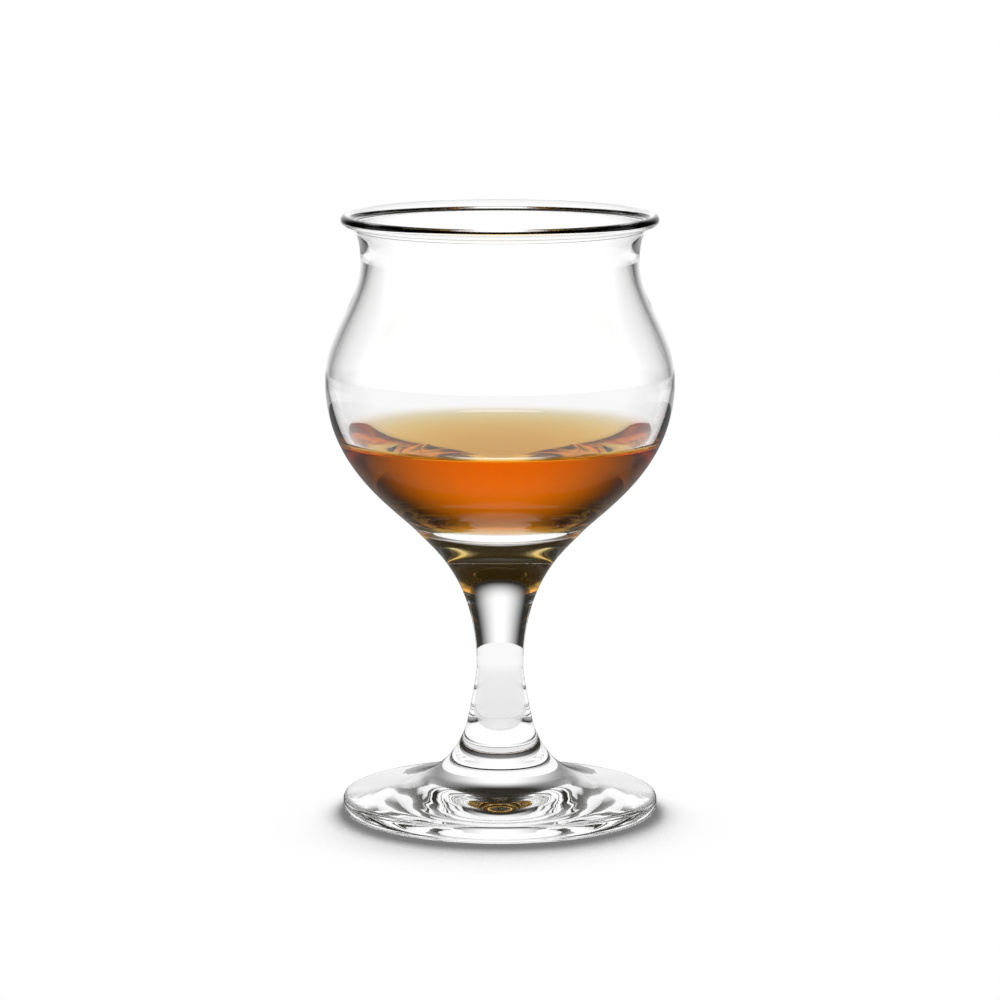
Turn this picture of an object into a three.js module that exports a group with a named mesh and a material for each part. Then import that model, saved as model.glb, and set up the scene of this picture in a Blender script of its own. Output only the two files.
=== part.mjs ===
// A stemmed cognac glass with a measure of cognac in it.
// Millimetres, +Z up. The origin lies on the table, in the middle of the foot.
//
// Every piece is turned about Z from an outline in the half plane (radius, height).
// The bowl, the stem and the foot are three gathers of glass that meet on flat round faces,
// and the drink lies in the bowl with a thin clearance all round.

import * as THREE from 'three';

const { degToRad } = THREE.MathUtils;

// Foot: a disc that climbs to a collar in the middle, hollow underneath, standing on a flat ring
const FOOT_RADIUS = 31.45;
const FOOT_EDGE = 3.5; // thickness of the foot at its rim
const FOOT_EDGE_ROUND = 1.1; // rounding of the rim's upper and lower edge
const FOOT_EDGE_SLOPE = degToRad(7); // fall of the top where it meets the rim
const FOOT_HEIGHT = 17.0; // table to the face that carries the stem
const COLLAR_RADIUS = 6.84; // radius of that face
const COLLAR_SLOPE = degToRad(70.5); // steepness of the wall there
const REST_WIDTH = 6.0; // width of the flat ring that the glass stands on
const HOLLOW_DEPTH = 1.6; // rise of the underside in the middle

// Stem: a solid column with a narrow waist, flared towards the bowl
const STEM_LENGTH = 39.7;
const WAIST_RADIUS = 4.65;
const WAIST_HEIGHT = 12.2; // waist above the stem's lower face
const HIP_RADIUS = 16.4; // radius of the face that carries the bowl
const HIP_SLOPE = degToRad(47.7); // steepness of the wall there

// Bowl: a tulip with a full belly, a drawn-in neck and a turned-out lip with a round bead
const BOWL_HEIGHT = 63.3; // stem's upper face to the top of the lip
const BELLY_RADIUS = 34.7;
const BELLY_HEIGHT = 30.1; // belly above the stem's upper face
const NECK_RADIUS = 27.6;
const NECK_DROP = 9.3; // neck below the top of the lip
const LIP_RADIUS = 31.45;
const LIP_BEAD_RADIUS = 1.05;
const LIP_TURN = degToRad(120); // how far the bead runs round, from its outermost point inwards
const NECK_WALL = 1.45;
const BELLY_WALL = 1.2; // between the widest radius outside and the widest radius inside
const INNER_BELLY_RISE = 1.0; // inside is widest this far above the belly outside
const BOTTOM_WALL = 3.3; // glass between the drink and the stem's upper face

// Drink: lies on the bowl's floor
const DRINK_DEPTH = 15.3; // drink's surface above the bowl's floor
const DRINK_CLEARANCE = 0.3;

// Fullness: how far a curve runs on in its end's direction, as a share of the rise or span it covers
const COLLAR_RUN = 0.73;
const FOOT_TOP_RUN = 0.58;
const STEM_BASE_RUN = 0.11;
const WAIST_RUN_BELOW = 0.115;
const WAIST_RUN_ABOVE = 0.65;
const STEM_TOP_RUN = 0.156;
const HIP_RUN = 0.213;
const BELLY_RUN_BELOW = 0.567;
const BELLY_RUN_ABOVE = 0.414;
const NECK_RUN_BELOW = 0.34;
const NECK_RUN_ABOVE = 0.66;
const LIP_RUN = 0.58;
const INNER_RUN_ABOVE = 0.305;
const FLOOR_RUN_SIDE = 0.42;
const FLOOR_RUN_AXIS = 0.73;
const HOLLOW_RUN_AXIS = 0.67;
const HOLLOW_RUN_RING = 0.43;

// Facets
const SEGMENTS = 48; // round the axis
const CURVE_STEPS = 7; // along each curve of an outline

// Levels that the pieces share
const BOWL_BASE = FOOT_HEIGHT + STEM_LENGTH;
const BOWL_FLOOR = BOWL_BASE + BOTTOM_WALL;
const BELLY_LEVEL = BOWL_BASE + BELLY_HEIGHT;
const INNER_BELLY_LEVEL = BELLY_LEVEL + INNER_BELLY_RISE;
const LIP_TOP = BOWL_BASE + BOWL_HEIGHT;
const NECK_LEVEL = LIP_TOP - NECK_DROP;

const CLEAR_GLASS = { color: 0xf2f6f4, roughness: 0.03, metalness: 0 };
const AMBER_DRINK = { color: 0xc8690f, roughness: 0.05, metalness: 0 };

/** The point at a distance from (radius, height), in a direction given by its angle above the radius. */
function along(radius, height, angle, distance) {
  return [radius + distance * Math.cos(angle), height + distance * Math.sin(angle)];
}

/** Turns an outline, which starts low on the axis and ends high on it, into a closed solid about Z. */
function turned(name, points, finish) {
  const geometry = new THREE.LatheGeometry(points, SEGMENTS);
  geometry.rotateX(Math.PI / 2);
  const mesh = new THREE.Mesh(geometry, new THREE.MeshStandardMaterial(finish));
  mesh.name = name;
  return mesh;
}

/** Foot: hollow underside, flat resting ring, round rim, and a top that climbs to the collar. */
function makeFoot() {
  const restOuter = FOOT_RADIUS - FOOT_EDGE_ROUND;
  const restInner = restOuter - REST_WIDTH;
  const roundLevel = FOOT_EDGE - FOOT_EDGE_ROUND;
  const roundEnd = Math.PI / 2 - FOOT_EDGE_SLOPE;
  const [rimRadius, rimTop] = along(restOuter, roundLevel, roundEnd, FOOT_EDGE_ROUND);
  const outline = new THREE.Path();
  outline.moveTo(0, HOLLOW_DEPTH);
  outline.bezierCurveTo(
    restInner * HOLLOW_RUN_AXIS, HOLLOW_DEPTH,
    restInner * (1 - HOLLOW_RUN_RING), 0,
    restInner, 0,
  );
  outline.lineTo(restOuter, 0);
  outline.absarc(restOuter, FOOT_EDGE_ROUND, FOOT_EDGE_ROUND, -Math.PI / 2, 0);
  outline.absarc(restOuter, roundLevel, FOOT_EDGE_ROUND, 0, roundEnd);
  outline.bezierCurveTo(
    ...along(rimRadius, rimTop, Math.PI - FOOT_EDGE_SLOPE, (rimRadius - COLLAR_RADIUS) * FOOT_TOP_RUN),
    ...along(COLLAR_RADIUS, FOOT_HEIGHT, -COLLAR_SLOPE, (FOOT_HEIGHT - rimTop) * COLLAR_RUN),
    COLLAR_RADIUS, FOOT_HEIGHT,
  );
  outline.lineTo(0, FOOT_HEIGHT);
  return turned('foot', outline.getPoints(CURVE_STEPS), CLEAR_GLASS);
}

/** Stem: from the foot's collar in to the waist, and out again to the bowl. */
function makeStem() {
  const waistLevel = FOOT_HEIGHT + WAIST_HEIGHT;
  const upperRise = BOWL_BASE - waistLevel;
  const outline = new THREE.Path();
  outline.moveTo(0, FOOT_HEIGHT);
  outline.lineTo(COLLAR_RADIUS, FOOT_HEIGHT);
  outline.bezierCurveTo(
    ...along(COLLAR_RADIUS, FOOT_HEIGHT, Math.PI - COLLAR_SLOPE, WAIST_HEIGHT * STEM_BASE_RUN),
    WAIST_RADIUS, waistLevel - WAIST_HEIGHT * WAIST_RUN_BELOW,
    WAIST_RADIUS, waistLevel,
  );
  outline.bezierCurveTo(
    WAIST_RADIUS, waistLevel + upperRise * WAIST_RUN_ABOVE,
    ...along(HIP_RADIUS, BOWL_BASE, Math.PI + HIP_SLOPE, upperRise * STEM_TOP_RUN),
    HIP_RADIUS, BOWL_BASE,
  );
  outline.lineTo(0, BOWL_BASE);
  return turned('stem', outline.getPoints(CURVE_STEPS), CLEAR_GLASS);
}

/** The inside of the bowl below its widest level: a full quarter of an oval, down to the axis. */
function bowlFloorCurve() {
  const radius = BELLY_RADIUS - BELLY_WALL;
  const depth = INNER_BELLY_LEVEL - BOWL_FLOOR;
  return new THREE.CubicBezierCurve(
    new THREE.Vector2(radius, INNER_BELLY_LEVEL),
    new THREE.Vector2(radius, INNER_BELLY_LEVEL - depth * FLOOR_RUN_SIDE),
    new THREE.Vector2(radius * FLOOR_RUN_AXIS, BOWL_FLOOR),
    new THREE.Vector2(0, BOWL_FLOOR),
  );
}

/** Bowl: outside from the stem up to the lip, over the bead, and inside down to the floor. */
function makeBowl() {
  const beadRadius = LIP_RADIUS - LIP_BEAD_RADIUS;
  const beadLevel = LIP_TOP - LIP_BEAD_RADIUS;
  const beadBottom = beadLevel - LIP_BEAD_RADIUS;
  const bellyRise = NECK_LEVEL - BELLY_LEVEL;
  const neckRise = beadBottom - NECK_LEVEL;
  const flare = beadRadius - NECK_RADIUS;
  const innerNeck = NECK_RADIUS - NECK_WALL;
  const innerBelly = BELLY_RADIUS - BELLY_WALL;
  const innerRise = NECK_LEVEL - INNER_BELLY_LEVEL;
  const floor = bowlFloorCurve();
  const outline = new THREE.Path();
  outline.moveTo(0, BOWL_BASE);
  outline.lineTo(HIP_RADIUS, BOWL_BASE);
  outline.bezierCurveTo(
    ...along(HIP_RADIUS, BOWL_BASE, HIP_SLOPE, BELLY_HEIGHT * HIP_RUN),
    BELLY_RADIUS, BELLY_LEVEL - BELLY_HEIGHT * BELLY_RUN_BELOW,
    BELLY_RADIUS, BELLY_LEVEL,
  );
  outline.bezierCurveTo(
    BELLY_RADIUS, BELLY_LEVEL + bellyRise * BELLY_RUN_ABOVE,
    NECK_RADIUS, NECK_LEVEL - bellyRise * NECK_RUN_BELOW,
    NECK_RADIUS, NECK_LEVEL,
  );
  outline.bezierCurveTo(
    NECK_RADIUS, NECK_LEVEL + neckRise * NECK_RUN_ABOVE,
    beadRadius - flare * LIP_RUN, beadBottom,
    beadRadius, beadBottom,
  );
  outline.absarc(beadRadius, beadLevel, LIP_BEAD_RADIUS, -Math.PI / 2, LIP_TURN);
  const [lipRadius, lipLevel] = along(beadRadius, beadLevel, LIP_TURN, LIP_BEAD_RADIUS);
  outline.bezierCurveTo(
    ...along(lipRadius, lipLevel, LIP_TURN + Math.PI / 2, flare * LIP_RUN),
    innerNeck, NECK_LEVEL + neckRise * NECK_RUN_ABOVE,
    innerNeck, NECK_LEVEL,
  );
  outline.bezierCurveTo(
    innerNeck, NECK_LEVEL - innerRise * NECK_RUN_BELOW,
    innerBelly, INNER_BELLY_LEVEL + innerRise * INNER_RUN_ABOVE,
    innerBelly, INNER_BELLY_LEVEL,
  );
  outline.bezierCurveTo(...floor.v1.toArray(), ...floor.v2.toArray(), ...floor.v3.toArray());
  return turned('bowl', outline.getPoints(CURVE_STEPS), CLEAR_GLASS);
}

/** The share of a falling curve at which it has come down to a level, found by halving. */
function shareAtLevel(curve, level) {
  let low = 0;
  let high = 1;
  while (high - low > Number.EPSILON) {
    const middle = (low + high) / 2;
    if (curve.getPoint(middle).y > level) low = middle;
    else high = middle;
  }
  return high;
}

/** Drink: the space on the bowl's floor up to the level surface, less the clearance. */
function makeDrink() {
  const floor = bowlFloorCurve();
  const surface = BOWL_FLOOR + DRINK_DEPTH;
  const start = shareAtLevel(floor, surface);
  const steps = 2 * CURVE_STEPS;
  const outline = [new THREE.Vector2(0, BOWL_FLOOR + DRINK_CLEARANCE)];
  for (let step = 1; step < steps; step += 1) {
    const share = 1 - ((1 - start) * step) / steps;
    const inward = floor.getTangent(share).rotateAround(new THREE.Vector2(), -Math.PI / 2);
    outline.push(floor.getPoint(share).addScaledVector(inward, DRINK_CLEARANCE));
  }
  outline.push(new THREE.Vector2(floor.getPoint(start).x - DRINK_CLEARANCE, surface));
  outline.push(new THREE.Vector2(0, surface));
  return turned('drink', outline, AMBER_DRINK);
}

const glass = new THREE.Group();
glass.add(makeFoot(), makeStem(), makeBowl(), makeDrink());

export default glass;
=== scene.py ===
"""A stemmed cognac glass: clear turned glass and a measure of amber drink, on a bright table.

Soft panels and a dark warm room light it. Sizes are in millimetres, as a glass maker writes them,
and become metres where a mesh is made.
"""

import logging
import math
from abc import ABC, abstractmethod
from collections.abc import Sequence
from dataclasses import dataclass
from enum import IntEnum
from typing import Any, ClassVar

import bpy
import numpy as np
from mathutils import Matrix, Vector


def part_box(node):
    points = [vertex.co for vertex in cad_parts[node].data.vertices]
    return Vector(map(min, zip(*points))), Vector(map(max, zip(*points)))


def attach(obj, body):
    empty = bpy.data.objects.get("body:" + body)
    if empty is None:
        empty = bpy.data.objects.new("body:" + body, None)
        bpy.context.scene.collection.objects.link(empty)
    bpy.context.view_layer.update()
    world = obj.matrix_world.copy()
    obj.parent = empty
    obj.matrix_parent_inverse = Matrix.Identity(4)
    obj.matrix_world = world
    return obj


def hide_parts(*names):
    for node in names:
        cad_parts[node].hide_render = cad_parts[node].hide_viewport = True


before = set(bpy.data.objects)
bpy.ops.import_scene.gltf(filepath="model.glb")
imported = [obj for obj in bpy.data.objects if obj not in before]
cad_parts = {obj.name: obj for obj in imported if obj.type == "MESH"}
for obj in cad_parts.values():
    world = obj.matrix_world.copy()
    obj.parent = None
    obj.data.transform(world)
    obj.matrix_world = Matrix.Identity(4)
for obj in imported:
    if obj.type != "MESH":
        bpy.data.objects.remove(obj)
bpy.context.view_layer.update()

LOG = logging.getLogger("cognac_glass")

MM = 0.001  # metres in a millimetre
SEGMENTS = 192  # round the axis; a quarter turn lays the drink's mesh over itself
CURVE_STEPS = 40  # along each curve of an outline
EDGE_ANGLE = math.radians(50)  # edges sharper than this stay sharp in the shading
SAME_COUNT = 0.5  # two counts that differ by less are the same
WHITE = (1.0, 1.0, 1.0, 1.0)
MARK_START = 0.45  # level of the noise where a wiping mark begins
MARK_FULL = 0.75  # level of the noise where it is full
FACE_BOUNCES = 32  # faces of the glass that light may pass
MIRROR_BOUNCES = 16  # times that light may be mirrored
COLLAR_RADIUS = 6.84  # where the foot and the stem are fused
COLLAR_SLOPE = math.radians(70.5)
HIP_SLOPE = math.radians(47.7)  # where the stem and the bowl are fused

Point = Sequence[float]  # radius and height in the half plane of an outline
Socket = bpy.types.NodeSocket
Sockets = bpy.types.bpy_prop_collection  # those of one node, by name or in order


class Face(IntEnum):
    """What a band of a turned piece meets; the value is the mesh's material slot."""

    AIR = 0
    GLASS = 1
    DRINK = 2


# Outlines and turned meshes

def box_mm(node: str) -> tuple[np.ndarray, np.ndarray]:
    """The lowest and highest corner of a CAD node, in millimetres."""
    low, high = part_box(node)
    return np.array(low) / MM, np.array(high) / MM


def along(start: Point, angle: float, distance: float) -> Point:
    """The point at a distance from another.

    Args:
        start: The point to set out from.
        angle: The direction, in radians above the radius.
        distance: How far to go.

    Returns:
        The point that is reached.
    """
    return (start[0] + distance * math.cos(angle), start[1] + distance * math.sin(angle))


def bezier(points: Sequence[Point], steps: int) -> np.ndarray:
    """A cubic curve from four points, as the weighted sum of them for shares that run from 0 to 1.

    Args:
        points: The start, the two handles and the end.
        steps: How many equal shares the curve is cut into.

    Returns:
        The points on the curve, from its start to its end.
    """
    share = np.linspace(0, 1, steps + 1)
    rest = 1 - share
    weights = np.stack([rest**3, 3 * rest**2 * share, 3 * rest * share**2, share**3], axis=1)
    return weights @ np.asarray(points, float)


class Outline:
    """Points in the half plane, from low on the axis to high on it, with what each stretch meets."""

    def __init__(self, radius: float, height: float) -> None:
        """Starts at one point."""
        self.points = np.array([[radius, height]], float)
        self.faces = np.empty(0, np.int32)

    def follow(self, stretch: np.ndarray, face: Face = Face.AIR) -> None:
        """Goes on through the points of a stretch, which all meet the same thing."""
        self.points = np.vstack([self.points, stretch])
        self.faces = np.append(self.faces, np.full(len(stretch), face, np.int32))

    def line(self, end: Point, face: Face = Face.AIR, steps: int = 1) -> None:
        """Goes straight to a point."""
        share = np.linspace(0, 1, steps + 1)[1:, None]
        self.follow(self.points[-1] * (1 - share) + np.asarray(end) * share, face)

    def curve(self, first: Point, second: Point, end: Point) -> None:
        """Goes along a cubic curve, by its two handles, to its end."""
        self.follow(bezier((self.points[-1], first, second, end), CURVE_STEPS)[1:])

    def arc(self, centre: Point, radius: float, start: float, stop: float, steps: int) -> None:
        """Goes round a centre from one angle to another, in radians above the radius."""
        angle = np.linspace(start, stop, steps + 1)
        self.follow(np.asarray(centre) + radius * np.stack([np.cos(angle), np.sin(angle)], axis=1))


@dataclass(frozen=True)
class Ripple:
    """Low rings that the tools leave in hot glass while it turns.

    The lift at a radius and an angle is the depth, times a sine of the radius whose phase sways a
    little with the angle, and it fades to nothing at the inner and the outer radius.
    """

    inner: float
    outer: float
    length: float  # from ring to ring
    depth: float
    sway: float  # radians that the rings wander
    lobes: int  # how often they wander in one turn
    above: float  # the level over which they lie, so that the underside stays as it is

    def lift(self, radius: np.ndarray, height: np.ndarray, angle: np.ndarray) -> np.ndarray:
        """How far the surface is lifted.

        Args:
            radius: Distances from the axis.
            height: Levels of the surface at them.
            angle: Angles round the axis, in radians.

        Returns:
            The lift for each of them at each angle.
        """
        share = np.clip((radius - self.inner) / (self.outer - self.inner), 0, 1)
        fade = np.sin(np.pi * share) ** 2 * (height > self.above)
        phase = 2 * np.pi * radius / self.length + self.sway * np.sin(self.lobes * angle)
        return self.depth * fade * np.sin(phase)


def turn(name: str, outline: Outline, ripple: Ripple | None = None) -> bpy.types.Object:
    """Turns an outline about the axis into a closed mesh.

    A point (r, z) of the outline becomes a ring, which at the angle a lies at (r cos a, r sin a, z).
    Quads join each ring to the next, and fans close the first and the last one at the axis.

    Args:
        name: The piece's name.
        outline: What to turn.
        ripple: A lift that is added to every ring's height.

    Returns:
        The new object, at the origin.
    """
    angle = np.arange(SEGMENTS) * (2 * np.pi / SEGMENTS)
    radius = outline.points[1:-1, :1]
    height = np.broadcast_to(outline.points[1:-1, 1:], (len(radius), SEGMENTS))
    if ripple:
        height = height + ripple.lift(radius, height, angle)
    rings = np.stack([radius * np.cos(angle), radius * np.sin(angle), height], axis=-1)
    poles = [(0, 0, outline.points[0, 1]), (0, 0, outline.points[-1, 1])]
    places = np.vstack([rings.reshape(-1, 3), poles]) * MM

    number = np.arange(rings.shape[0] * SEGMENTS).reshape(-1, SEGMENTS)
    beside = np.roll(number, -1, axis=1)
    quads = np.stack([number[:-1], beside[:-1], beside[1:], number[1:]], axis=-1).reshape(-1, 4)
    low_pole = np.full(SEGMENTS, number.size)
    low_fan = np.stack([low_pole, beside[0], number[0]], axis=-1)
    high_fan = np.stack([low_pole + 1, number[-1], beside[-1]], axis=-1)
    sides = np.repeat([4, 3], [len(quads), 2 * SEGMENTS])
    slots = np.repeat(outline.faces, SEGMENTS)
    slots = np.concatenate([slots[SEGMENTS:-SEGMENTS], slots[:SEGMENTS], slots[-SEGMENTS:]])

    mesh = bpy.data.meshes.new(name)
    mesh.vertices.add(len(places))
    mesh.vertices.foreach_set("co", places.astype(np.float32).ravel())
    mesh.loops.add(int(sides.sum()))
    corners = np.concatenate([quads.ravel(), low_fan.ravel(), high_fan.ravel()])
    mesh.loops.foreach_set("vertex_index", corners.astype(np.int32))
    mesh.polygons.add(len(sides))
    mesh.polygons.foreach_set("loop_start", (np.cumsum(sides) - sides).astype(np.int32))
    mesh.polygons.foreach_set("use_smooth", np.ones(len(sides), bool))
    mesh.polygons.foreach_set("material_index", slots)
    mesh.update(calc_edges=True)
    mesh.set_sharp_from_angle(angle=EDGE_ANGLE)
    piece = bpy.data.objects.new(name, mesh)
    bpy.context.collection.objects.link(piece)
    return piece


# Nodes

class Nodes:
    """Puts nodes into one tree and joins them."""

    def __init__(self, tree: bpy.types.NodeTree) -> None:
        """Takes the tree to work in."""
        self.tree = tree

    def put(self, kind: str, *inputs: Any, **settings: Any) -> bpy.types.Node:
        """Adds a node.

        Args:
            kind: The node's type.
            inputs: For each socket in turn, a socket to join, a value to set, or None to leave it.
            settings: The node's own properties.

        Returns:
            The new node.
        """
        node = self.tree.nodes.new(kind)
        for key, value in settings.items():
            setattr(node, key, value)
        for socket, value in zip(node.inputs, inputs):
            self.feed(socket, value)
        return node

    def feed(self, socket: Socket, value: Any) -> None:
        """Joins a socket to another one, or sets its value.

        Args:
            socket: The socket to feed.
            value: A socket to join, a value to set, or None to leave it as it is.
        """
        if isinstance(value, Socket):
            self.tree.links.new(value, socket)
        elif value is not None:
            socket.default_value = value

    def math(self, operation: str, *inputs: Any, clamp: bool = False) -> Socket:
        """The result of a Math node."""
        return self.put("ShaderNodeMath", *inputs, operation=operation, use_clamp=clamp).outputs[0]

    def ease(self, value: Any, start: float, stop: float, first: float, last: float) -> Socket:
        """A smooth step from one number to another.

        Args:
            value: What the step depends on.
            start: The value at which it begins.
            stop: The value at which it ends.
            first: The number up to the start.
            last: The number from the stop on.

        Returns:
            The number.
        """
        limits = (start, stop, first, last)
        node = self.put("ShaderNodeMapRange", value, *limits, interpolation_type="SMOOTHSTEP")
        return node.outputs["Result"]

    def edge(self, value: Any, middle: float, half: float) -> Socket:
        """A smooth step from 1 to 0 that is half done at the middle."""
        return self.ease(value, middle - half, middle + half, 1.0, 0.0)

    def mix(self, factor: Any, first: Any, second: Any) -> Socket:
        """The first number where the factor is 0, and the second where it is 1."""
        node = self.put("ShaderNodeMix", factor, None, first, second, data_type="FLOAT")
        return node.outputs["Result"]

    def group(self, tree: bpy.types.NodeTree, *inputs: Any) -> bpy.types.Node:
        """A node that holds a group, with its inputs in order."""
        return self.put("ShaderNodeGroup", *inputs, node_tree=tree)


def new_group(
    name: str, inputs: dict[str, str], outputs: dict[str, str]
) -> tuple[Nodes, Sockets, Sockets]:
    """Makes an empty shader node group.

    Args:
        name: The group's name.
        inputs: Socket types by name.
        outputs: Socket types by name.

    Returns:
        A helper for its tree, the sockets that come in, and the sockets to feed.
    """
    tree = bpy.data.node_groups.new(name, "ShaderNodeTree")
    for label, kind in inputs.items():
        tree.interface.new_socket(label, in_out="INPUT", socket_type=kind)
    for label, kind in outputs.items():
        tree.interface.new_socket(label, in_out="OUTPUT", socket_type=kind)
    nodes = Nodes(tree)
    return nodes, nodes.put("NodeGroupInput").outputs, nodes.put("NodeGroupOutput").inputs


# Finishes

def glass_waves() -> bpy.types.NodeTree:
    """Builds the group for the slow waves and faint wiping marks that blown glass has.

    Returns:
        The group, with the height for a Bump node and the roughness as its outputs.
    """
    number = "NodeSocketFloat"
    nodes, given, made = new_group(
        "glass_waves",
        {"Wave Scale": number, "Mark Scale": number, "Mark Roughness": number},
        {"Height": number, "Roughness": number},
    )
    place = nodes.put("ShaderNodeTexCoord").outputs["Object"]
    waves = nodes.put("ShaderNodeTexNoise", place, None, given["Wave Scale"])
    marks = nodes.put("ShaderNodeTexNoise", place, None, given["Mark Scale"])
    strength = nodes.ease(marks.outputs[0], MARK_START, MARK_FULL, 0.0, 1.0)
    nodes.feed(made["Height"], waves.outputs[0])
    nodes.feed(made["Roughness"], nodes.math("MULTIPLY", strength, given["Mark Roughness"]))
    return nodes.tree


@dataclass(frozen=True)
class ClearGlass:
    """Colourless glass with slow waves and faint wiping marks."""

    name: str
    ior: float = 1.5
    mirror: float = 0.1  # share of the plain mirror image that the surface keeps
    wave_length: float = 16.0
    wave_depth: float = 0.004
    mark_length: float = 9.0
    mark_roughness: float = 0.01
    mirrored: bool = True  # whether other glass may show a mirror image of it

    def material(self, waves: bpy.types.NodeTree) -> bpy.types.Material:
        """Makes the material.

        Args:
            waves: The shared group of waves and marks.

        Returns:
            The material, with the Principled shader as glass.
        """
        made = bpy.data.materials.new(self.name)
        made.use_nodes = True
        nodes = Nodes(made.node_tree)
        surface = made.node_tree.nodes["Principled BSDF"].inputs
        surface["Base Color"].default_value = WHITE
        # painted shade: the piece is black to rays mirrored on the outside of glass, so the bowl shows
        # no reflection of it
        if not self.mirrored:
            nodes.feed(surface["Base Color"], self.colour(nodes))
        surface["IOR"].default_value = self.ior
        surface["Transmission Weight"].default_value = 1
        surface["Specular Tint"].default_value = (self.mirror, self.mirror, self.mirror, 1)
        scales = (1 / (self.wave_length * MM), 1 / (self.mark_length * MM))
        detail = nodes.group(waves, *scales, self.mark_roughness).outputs
        bump = nodes.put("ShaderNodeBump")
        bump.inputs["Distance"].default_value = self.wave_depth * MM
        nodes.feed(bump.inputs["Height"], detail["Height"])
        nodes.feed(surface["Normal"], bump.outputs["Normal"])
        nodes.feed(surface["Roughness"], detail["Roughness"])
        return made

    def colour(self, nodes: Nodes) -> Socket:
        """White, but black to light that was mirrored before it entered any glass.

        So other glass shows no mirror image of the piece.

        Args:
            nodes: The material's tree.

        Returns:
            The colour.
        """
        path = nodes.put("ShaderNodeLightPath").outputs
        bounced = nodes.math("MINIMUM", path["Glossy Depth"], 1.0)
        outside = nodes.math("SUBTRACT", bounced, path["Transmission Depth"], clamp=True)
        kept = nodes.math("SUBTRACT", 1.0, outside)
        return nodes.put("ShaderNodeCombineColor", kept, kept, kept).outputs[0]


@dataclass(frozen=True)
class AmberDrink(ClearGlass):
    """Clear amber liquid, which darkens with its depth."""

    absorption: tuple[float, float, float] = (5.0, 36.5, 132.0)  # red, green and blue lost in a metre

    def material(self, waves: bpy.types.NodeTree) -> bpy.types.Material:
        """Makes the material, with the absorption as a volume.

        Args:
            waves: The shared group of waves and marks.

        Returns:
            The material.
        """
        made = super().material(waves)
        tree = made.node_tree
        loss = np.array(self.absorption)
        body = tree.nodes.new("ShaderNodeVolumeAbsorption")
        body.inputs["Color"].default_value = (*(1 - loss / loss.max()), 1)
        body.inputs["Density"].default_value = float(loss.max())
        tree.links.new(body.outputs["Volume"], tree.nodes["Material Output"].inputs["Volume"])
        return made


@dataclass(frozen=True)
class FusedFace:
    """A face where two gathers are one glass, so that nothing shows."""

    name: str

    def material(self) -> bpy.types.Material:
        """Makes the material.

        Returns:
            The material, which is wholly clear.
        """
        made = bpy.data.materials.new(self.name)
        made.use_nodes = True
        made.node_tree.nodes["Principled BSDF"].inputs["Alpha"].default_value = 0
        return made


class Finishes:
    """The materials that the pieces share."""

    def __init__(self) -> None:
        """Makes each of them once."""
        waves = glass_waves()
        clear = ClearGlass("clear_glass").material(waves)
        wetted = ClearGlass("wetted_glass", mirror=0).material(waves)
        low = ClearGlass("low_glass", mirrored=False).material(waves)
        fused = FusedFace("fused_glass").material()
        self.bowl = {Face.AIR: clear, Face.GLASS: fused, Face.DRINK: wetted}
        self.low = {Face.AIR: low, Face.GLASS: fused}
        self.drink = {Face.AIR: AmberDrink("amber_drink", ior=1.35, mirror=0).material(waves)}


# Pieces

class TurnedPiece(ABC):
    """A piece that is turned about the axis and stands for one CAD node."""

    name: ClassVar[str]
    node: ClassVar[str]
    body: ClassVar[str]
    slot: ClassVar[str]
    ripple: Ripple | None = None

    @abstractmethod
    def outline(self) -> Outline:
        """The outline that is turned."""

    def build(self) -> bpy.types.Object:
        """Makes the mesh, ties it to its body and hides its CAD node.

        Returns:
            The piece.
        """
        piece = turn(self.name, self.outline(), self.ripple)
        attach(piece, self.body)
        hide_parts(self.node)
        return piece

    def dress(self, piece: bpy.types.Object, finishes: dict[Face, bpy.types.Material]) -> None:
        """Gives each kind of face its finish, in the order of the mesh's slots.

        Args:
            piece: The piece that was built.
            finishes: The material for each kind of face.
        """
        for face in sorted(finishes):
            piece.data.materials.append(finishes[face])


@dataclass
class Foot(TurnedPiece):
    """A disc that climbs to a collar, hollow underneath, on a flat ring."""

    name = "spread_foot"
    node = "foot"
    body = "glass"
    slot = "foot_glass"

    edge: float = 3.5  # thickness of the rim
    edge_round: float = 1.1
    edge_slope: float = math.radians(7)
    collar_radius: float = COLLAR_RADIUS
    collar_slope: float = COLLAR_SLOPE
    rest_width: float = 6.0
    hollow_depth: float = 1.6
    hollow_run_axis: float = 0.67  # a run is a handle's length, as a share of its curve's
    hollow_run_ring: float = 0.43
    collar_run: float = 0.73
    top_run: float = 0.58
    rest_steps: int = 6
    round_steps: int = 10
    ripple: Ripple = Ripple(inner=8, outer=30, length=2.4, depth=0.012, sway=0.8, lobes=5, above=2.5)

    def __post_init__(self) -> None:
        """Takes the outer sizes from the CAD node."""
        high = box_mm(self.node)[1]
        self.radius, self.height = high[0], high[2]

    def outline(self) -> Outline:
        """The hollow, the resting ring, the round rim and the top.

        Returns:
            The foot's outline.
        """
        outer = self.radius - self.edge_round
        inner = outer - self.rest_width
        level = self.edge - self.edge_round
        round_end = math.pi / 2 - self.edge_slope
        rim = along((outer, level), round_end, self.edge_round)
        collar = (self.collar_radius, self.height)
        made = Outline(0, self.hollow_depth)
        made.curve(
            (inner * self.hollow_run_axis, self.hollow_depth),
            (inner * (1 - self.hollow_run_ring), 0),
            (inner, 0),
        )
        made.line((outer, 0), steps=self.rest_steps)
        made.arc((outer, self.edge_round), self.edge_round, -math.pi / 2, 0, self.round_steps)
        made.arc((outer, level), self.edge_round, 0, round_end, self.round_steps)
        made.curve(
            along(rim, math.pi - self.edge_slope, (rim[0] - self.collar_radius) * self.top_run),
            along(collar, -self.collar_slope, (self.height - rim[1]) * self.collar_run),
            collar,
        )
        made.line((0, self.height), Face.GLASS)
        return made


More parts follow.
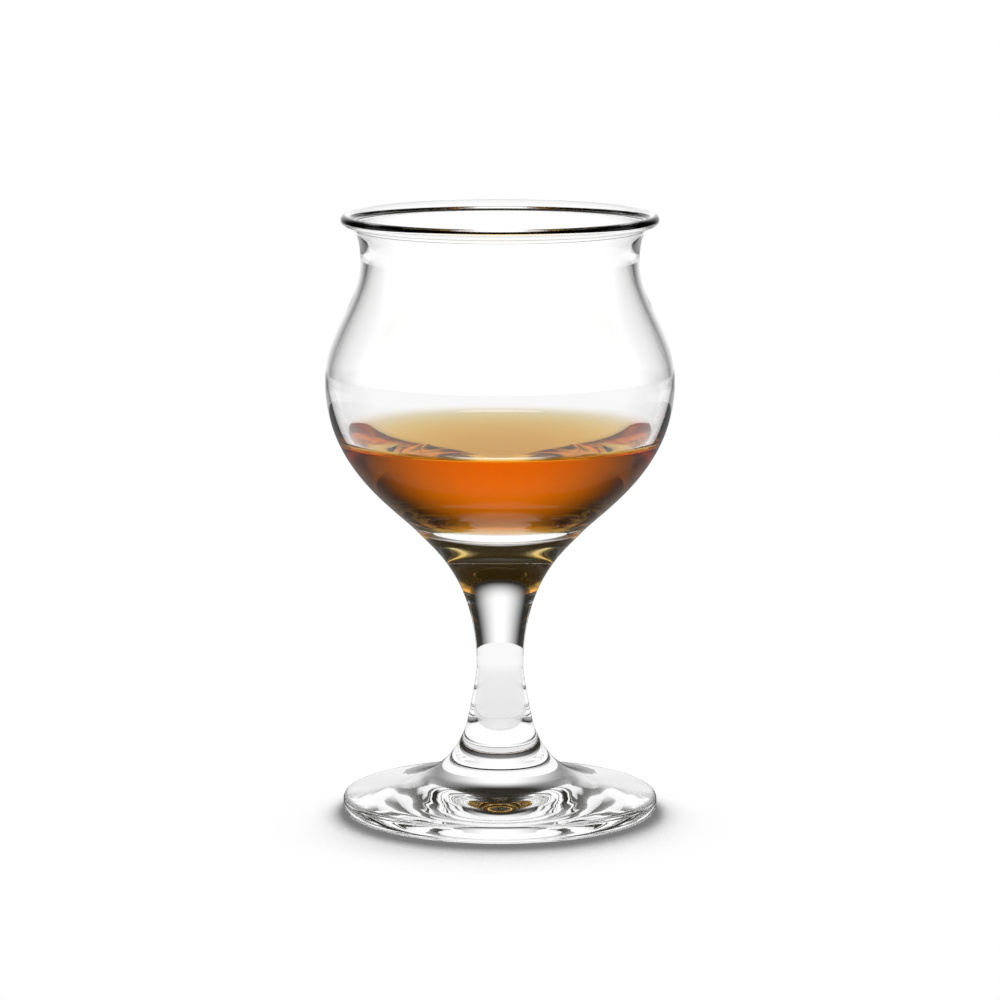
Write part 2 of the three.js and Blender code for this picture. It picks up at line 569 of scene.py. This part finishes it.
@dataclass
class Stem(TurnedPiece):
    """A solid column with a narrow waist, flared towards the bowl."""

    name = "drawn_stem"
    node = "stem"
    body = "glass"
    slot = "stem_glass"

    collar_radius: float = COLLAR_RADIUS
    collar_slope: float = COLLAR_SLOPE
    waist_radius: float = 4.65
    waist_height: float = 12.2
    hip_slope: float = HIP_SLOPE
    base_run: float = 0.11  # a run is a handle's length, as a share of its curve's
    waist_run_below: float = 0.115
    waist_run_above: float = 0.65
    top_run: float = 0.156

    def __post_init__(self) -> None:
        """Takes the outer sizes from the CAD node."""
        low, high = box_mm(self.node)
        self.hip_radius, self.base, self.top = high[0], low[2], high[2]

    def outline(self) -> Outline:
        """In from the collar to the waist, and out to the hip.

        Returns:
            The stem's outline.
        """
        waist = self.base + self.waist_height
        rise = self.top - waist
        collar = (self.collar_radius, self.base)
        hip = (self.hip_radius, self.top)
        made = Outline(0, self.base)
        made.line(collar, Face.GLASS)
        made.curve(
            along(collar, math.pi - self.collar_slope, self.waist_height * self.base_run),
            (self.waist_radius, waist - self.waist_height * self.waist_run_below),
            (self.waist_radius, waist),
        )
        made.curve(
            (self.waist_radius, waist + rise * self.waist_run_above),
            along(hip, math.pi + self.hip_slope, rise * self.top_run),
            hip,
        )
        made.line((0, self.top), Face.GLASS)
        return made


@dataclass
class Bowl(TurnedPiece):
    """A tulip with a full belly, a drawn-in neck and a turned-out lip with a round bead."""

    name = "blown_bowl"
    node = "bowl"
    body = "glass"
    slot = "bowl_glass"

    hip_radius: float = 16.4
    hip_slope: float = HIP_SLOPE
    belly_height: float = 30.1
    neck_radius: float = 27.6
    neck_drop: float = 9.3  # of the narrowest level, below the lip
    lip_radius: float = 31.45
    bead: float = 1.05  # its radius
    lip_turn: float = math.radians(120)  # where the bead goes over into the inside
    neck_wall: float = 1.45
    belly_wall: float = 1.2
    inner_belly_rise: float = 1.0  # of the widest level inside, above the one outside
    bottom_wall: float = 3.3
    hip_run: float = 0.213  # a run is a handle's length, as a share of its curve's
    belly_run_below: float = 0.567
    belly_run_above: float = 0.414
    neck_run_below: float = 0.34
    neck_run_above: float = 0.66
    lip_run: float = 0.58
    inner_run_above: float = 0.305
    floor_run_side: float = 0.42
    floor_run_axis: float = 0.73
    floor_steps: int = 120
    wetted_level: float = 0.0  # below it the inside meets the drink

    def __post_init__(self) -> None:
        """Takes the outer sizes from the CAD node."""
        low, high = box_mm(self.node)
        self.belly_radius, self.base, self.top = high[0], low[2], high[2]
        self.belly_level = self.base + self.belly_height
        self.inner_level = self.belly_level + self.inner_belly_rise
        self.floor = self.base + self.bottom_wall

    def floor_curve(self, steps: int) -> np.ndarray:
        """The inside below its widest level, upright at the wall and level at the axis.

        Args:
            steps: How many shares it is cut into.

        Returns:
            The points on it.
        """
        radius = self.belly_radius - self.belly_wall
        depth = self.inner_level - self.floor
        handles = (
            (radius, self.inner_level),
            (radius, self.inner_level - depth * self.floor_run_side),
            (radius * self.floor_run_axis, self.floor),
            (0, self.floor),
        )
        return bezier(handles, steps)

    def outline(self) -> Outline:
        """Outside up to the lip, over the bead, and inside down to the floor.

        Returns:
            The bowl's outline.
        """
        neck = self.top - self.neck_drop
        bead_radius = self.lip_radius - self.bead
        bead_level = self.top - self.bead
        bead_bottom = bead_level - self.bead
        belly_rise = neck - self.belly_level
        inner_rise = neck - self.inner_level
        neck_rise = bead_bottom - neck
        flare = bead_radius - self.neck_radius
        inner_neck = self.neck_radius - self.neck_wall
        inner_belly = self.belly_radius - self.belly_wall
        hip = (self.hip_radius, self.base)
        lip = along((bead_radius, bead_level), self.lip_turn, self.bead)
        made = Outline(0, self.base)
        made.line(hip, Face.GLASS)
        made.curve(
            along(hip, self.hip_slope, self.belly_height * self.hip_run),
            (self.belly_radius, self.belly_level - self.belly_height * self.belly_run_below),
            (self.belly_radius, self.belly_level),
        )
        made.curve(
            (self.belly_radius, self.belly_level + belly_rise * self.belly_run_above),
            (self.neck_radius, neck - belly_rise * self.neck_run_below),
            (self.neck_radius, neck),
        )
        made.curve(
            (self.neck_radius, neck + neck_rise * self.neck_run_above),
            (bead_radius - flare * self.lip_run, bead_bottom),
            (bead_radius, bead_bottom),
        )
        made.arc((bead_radius, bead_level), self.bead, -math.pi / 2, self.lip_turn, CURVE_STEPS)
        made.curve(
            along(lip, self.lip_turn + math.pi / 2, flare * self.lip_run),
            (inner_neck, neck + neck_rise * self.neck_run_above),
            (inner_neck, neck),
        )
        made.curve(
            (inner_neck, neck - inner_rise * self.neck_run_below),
            (inner_belly, self.inner_level + inner_rise * self.inner_run_above),
            (inner_belly, self.inner_level),
        )
        inside = self.floor_curve(self.floor_steps)[1:]
        wetted = inside[:, 1] < self.wetted_level
        made.follow(inside[~wetted])
        made.follow(inside[wetted], Face.DRINK)
        return made


@dataclass
class Drink(TurnedPiece):
    """The measure of drink on the bowl's floor, which climbs the wall a little at its edge."""

    bowl: Bowl

    name = "amber_pour"
    node = "drink"
    body = "drink"
    slot = "drink"

    climb: float = 1.2  # of the edge, above the level surface
    reach: float = 1.4  # over which the climb falls to about a third
    edge_width: float = 8.0  # of the surface that is worked out as climbing
    seat: float = 0.06  # that the drink reaches into the glass, so that no air lies between them
    edge_crowding: float = 1.5  # power that draws the steps of that width towards the wall
    level_steps: int = 20  # over the rest of the surface
    wall_steps: int = 120
    fine_steps: int = 6000  # of the wall, out of which the steps are picked

    def __post_init__(self) -> None:
        """Takes the level of the surface from the CAD node."""
        self.level = box_mm(self.node)[1][2]
        self.edge = self.level + self.climb

    def outline(self) -> Outline:
        """Up the wall of the bowl, and in over the surface.

        The surface stands above its level by the climb, times a falling exponential of the distance
        from the wall.

        Returns:
            The drink's outline.
        """
        wall = self.bowl.floor_curve(self.fine_steps)[::-1]
        wall = wall[wall[:, 1] <= self.edge]
        step = np.gradient(wall, axis=0)
        outward = np.stack([step[:, 1], -step[:, 0]], axis=1) / np.linalg.norm(step, axis=1)[:, None]
        skin = (wall + self.seat * outward)[np.linspace(0, len(wall) - 1, self.wall_steps).astype(int)]
        made = Outline(0, skin[0, 1])
        made.follow(skin[1:])
        edge_radius, edge_level = skin[-1]
        away = self.edge_width * np.linspace(0, 1, CURVE_STEPS)[1:] ** self.edge_crowding
        lift = (edge_level - self.level) * np.exp(-away / self.reach)
        made.follow(np.stack([edge_radius - away, self.level + lift], axis=1))
        made.line((0, made.points[-1, 1]), steps=self.level_steps)
        return made


# Studio

@dataclass(frozen=True)
class SoftPanel:
    """One lit panel: the turn of its middle from the back, its half width and its blur, in degrees."""

    middle: float
    half: float
    blur: float

    def width(self, nodes: Nodes, turned: Socket) -> Socket:
        """The share of the panel at a turn, on either side: a smooth step about its half width.

        Args:
            nodes: The tree to work in.
            turned: The turn from the back, in degrees.

        Returns:
            The share.
        """
        off_middle = nodes.math("ABSOLUTE", nodes.math("SUBTRACT", turned, self.middle))
        return nodes.edge(off_middle, self.half, self.blur)


@dataclass(frozen=True)
class SoftPanels:
    """Upright panels behind the glass and at its sides, and dim ones towards the front corners."""

    back: SoftPanel = SoftPanel(middle=0.0, half=21.0, blur=20.5)
    side: SoftPanel = SoftPanel(middle=90.0, half=22.0, blur=6.6)
    corner: SoftPanel = SoftPanel(middle=135.0, half=25.0, blur=4.0)
    corner_level: float = 0.35  # beside the other panels
    top: float = 25.0  # of all of them, in degrees above the level
    top_blur: float = 12.0

    def share(self, nodes: Nodes, turned: Socket, rise: Socket) -> Socket:
        """How much of the panels lies in a direction.

        Args:
            nodes: The tree to work in.
            turned: The direction's turn from the back, in degrees.
            rise: Its angle above the level, in degrees.

        Returns:
            The share.
        """
        back = self.back.width(nodes, turned)
        side = self.side.width(nodes, turned)
        bright = nodes.math("ADD", back, side, clamp=True)
        dim = nodes.math("MULTIPLY", self.corner.width(nodes, turned), self.corner_level)
        height = nodes.edge(rise, self.top, self.top_blur)
        return nodes.math("MULTIPLY", nodes.math("MAXIMUM", bright, dim), height)


@dataclass(frozen=True)
class Table:
    """A white round table that shows the glass's soft contact shadow, painted from ambient occlusion."""

    reach: float = 450.0
    drop: float = 0.02  # below the foot, so that the two don't share a plane
    sides: int = 96
    near: float = 0.8  # through the glass, close to it: painted shade of the glass on the table
    far: float = 0.95  # through the glass, far from it
    near_reach: float = 30.0  # from the axis, up to which the near levels hold
    far_reach: float = 150.0  # from the axis, beyond which the far levels hold
    in_glass: float = 1.1  # after light was mirrored inside the glass: painted light, brighter than through it
    on_glass_near: float = 0.02  # as a mirror image on the glass, close to it: painted shade of the glass
    on_glass_far: float = 0.25  # as a mirror image on the glass, far from it
    shade_tilt: float = math.radians(65)  # of the light that is kept off, away from the camera
    shade_reach: float = 25.0
    shade_samples: int = 16
    shade_full: float = 0.68  # openness at which the shadow is deepest
    shade_none: float = 0.96  # openness at which it ends
    shade_deepest: float = 0.2

    def build(self) -> None:
        """Makes the disc, which is one ring about its middle, and its material."""
        angle = np.arange(self.sides) * (2 * np.pi / self.sides)
        ring = np.stack([np.cos(angle), np.sin(angle)], axis=1) * self.reach
        places = np.column_stack([np.vstack([ring, [0, 0]]), np.full(self.sides + 1, -self.drop)]) * MM
        number = np.arange(self.sides)
        faces = np.stack([np.full(self.sides, self.sides), number, np.roll(number, -1)], axis=1)
        mesh = bpy.data.meshes.new("table")
        mesh.from_pydata(places.tolist(), [], faces.tolist())
        mesh.materials.append(self.material())
        made = bpy.data.objects.new("table", mesh)
        bpy.context.collection.objects.link(made)

    def material(self) -> bpy.types.Material:
        """White that shows the contact shadow to the camera.

        Rays through the glass, rays mirrored inside it and rays mirrored on it each meet a level of
        their own. Close to the glass these levels are painted shade, and after a mirroring inside the
        glass the level is painted light.

        Returns:
            The material.
        """
        made = bpy.data.materials.new("table")
        made.use_nodes = True
        made.node_tree.nodes.clear()
        nodes = Nodes(made.node_tree)
        # painted shadow: the white is darkened by ambient occlusion round the foot, leaned away from the
        # camera
        lean = nodes.put("ShaderNodeCombineXYZ", 0, math.sin(self.shade_tilt), math.cos(self.shade_tilt))
        inputs = (None, self.shade_reach * MM, lean.outputs[0])
        shade = nodes.put("ShaderNodeAmbientOcclusion", *inputs, samples=self.shade_samples)
        openness = shade.outputs["AO"]
        shaded = nodes.ease(openness, self.shade_full, self.shade_none, self.shade_deepest, 1.0)
        place = nodes.put("ShaderNodeNewGeometry").outputs["Position"]
        distance = nodes.put("ShaderNodeVectorMath", place, operation="LENGTH").outputs["Value"]
        path = nodes.put("ShaderNodeLightPath").outputs
        bounced = nodes.math("MINIMUM", path["Glossy Depth"], 1.0)
        mirrored = nodes.math("SUBTRACT", path["Is Glossy Ray"], path["Is Transmission Ray"], clamp=True)
        # painted shade: seen through the glass, the table is darker close to its axis
        span = (self.near_reach * MM, self.far_reach * MM)
        level = nodes.ease(distance, *span, self.near, self.far)
        # painted light: after a mirroring inside the glass the table glows brighter
        level = nodes.mix(bounced, level, self.in_glass)
        # painted shade in the mirror image: the table is darker close to the glass
        image = nodes.ease(distance, *span, self.on_glass_near, self.on_glass_far)
        level = nodes.mix(mirrored, level, image)
        shown = nodes.mix(path["Is Camera Ray"], level, shaded)
        light = nodes.put("ShaderNodeEmission", WHITE, shown)
        nodes.put("ShaderNodeOutputMaterial", light.outputs[0])
        return made


@dataclass(frozen=True)
class Surround:
    """The room as the glass sees it: lit panels before a dark warm room, and white to the camera."""

    panel: float = 1.05  # level of the lit panels
    low_top: float = -8.0  # of what continues the table, in degrees above the level
    low_blur: float = 1.0
    off_drink: float = 0.4  # share of the panels that the drink's surface mirrors
    off_drink_faces: float = 4.0  # that such a mirror image passes: both walls of the bowl
    room: tuple[float, float, float] = (0.03, 0.027, 0.021)  # its red, green and blue

    def build(self, panels: SoftPanels, table: Table) -> None:
        """Makes the world.

        Args:
            panels: The lit panels.
            table: The table, which the world continues below the level.
        """
        world = bpy.data.worlds.new("surround")
        bpy.context.scene.world = world
        world.use_nodes = True
        world.node_tree.nodes.clear()
        nodes = Nodes(world.node_tree)
        direction = nodes.put("ShaderNodeTexCoord").outputs["Generated"]
        east, north, up = nodes.put("ShaderNodeSeparateXYZ", direction).outputs
        turned = nodes.math("DEGREES", nodes.math("ABSOLUTE", nodes.math("ARCTAN2", east, north)))
        rise = nodes.math("DEGREES", nodes.math("ARCSINE", up))
        path = nodes.put("ShaderNodeLightPath").outputs
        once = nodes.math("COMPARE", path["Glossy Depth"], 1.0, SAME_COUNT)
        two_walls = nodes.math("COMPARE", path["Transmission Depth"], self.off_drink_faces, SAME_COUNT)
        off_drink = nodes.math("MULTIPLY", once, two_walls)
        level = nodes.mix(off_drink, self.panel, self.panel * self.off_drink)
        upright = nodes.math("MULTIPLY", panels.share(nodes, turned, rise), level)
        low = nodes.math("MULTIPLY", nodes.edge(rise, self.low_top, self.low_blur), table.far)
        lit = nodes.math("MAXIMUM", upright, low)
        plain = nodes.math("ADD", path["Is Camera Ray"], path["Is Diffuse Ray"], clamp=True)
        lit = nodes.mix(plain, lit, 1.0)
        room = [nodes.math("MAXIMUM", lit, least) for least in self.room]
        colour = nodes.put("ShaderNodeCombineColor", *room).outputs[0]
        light = nodes.put("ShaderNodeBackground", colour, 1.0)
        nodes.put("ShaderNodeOutputWorld", light.outputs[0])


@dataclass(frozen=True)
class Camera:
    """The camera at the photograph's viewing angle."""

    eye: tuple[float, float, float] = (0, -900, 209)
    aim: tuple[float, float, float] = (0, 0, 62.9)
    lens: float = 164.88
    sensor: float = 36.0

    def build(self) -> None:
        """Makes the camera and hands it to the scene."""
        made = bpy.data.cameras.new("camera")
        made.sensor_width = self.sensor
        made.lens = self.lens
        holder = bpy.data.objects.new("camera", made)
        bpy.context.collection.objects.link(holder)
        holder.location = Vector(self.eye) * MM
        sight = Vector(self.aim) * MM - holder.location
        holder.rotation_euler = sight.to_track_quat("-Z", "Y").to_euler()
        bpy.context.scene.camera = holder


def set_light_paths() -> None:
    """Lets light pass through the many faces of the glass, without caustics, in plain colours."""
    scene = bpy.context.scene
    scene.view_settings.view_transform = "Standard"
    scene.cycles.max_bounces = FACE_BOUNCES
    scene.cycles.transmission_bounces = FACE_BOUNCES
    scene.cycles.glossy_bounces = MIRROR_BOUNCES
    scene.cycles.transparent_max_bounces = FACE_BOUNCES
    scene.cycles.caustics_refractive = False
    scene.cycles.caustics_reflective = False


def main() -> None:
    """Builds the studio and every piece, and reports them."""
    logging.basicConfig(level=logging.INFO, format="%(name)s: %(message)s")
    set_light_paths()
    Camera().build()
    table = Table()
    table.build()
    Surround().build(SoftPanels(), table)
    finishes = Finishes()
    bowl = Bowl()
    drink = Drink(bowl)
    bowl.wetted_level = drink.edge
    dressed = (
        (Foot(), finishes.low),
        (Stem(), finishes.low),
        (bowl, finishes.bowl),
        (drink, finishes.drink),
    )
    for part, finish in dressed:
        piece = part.build()
        part.dress(piece, finish)
        LOG.info("%s for %s: %d faces", piece.name, part.node, len(piece.data.polygons))


if __name__ == "__main__":
    main()
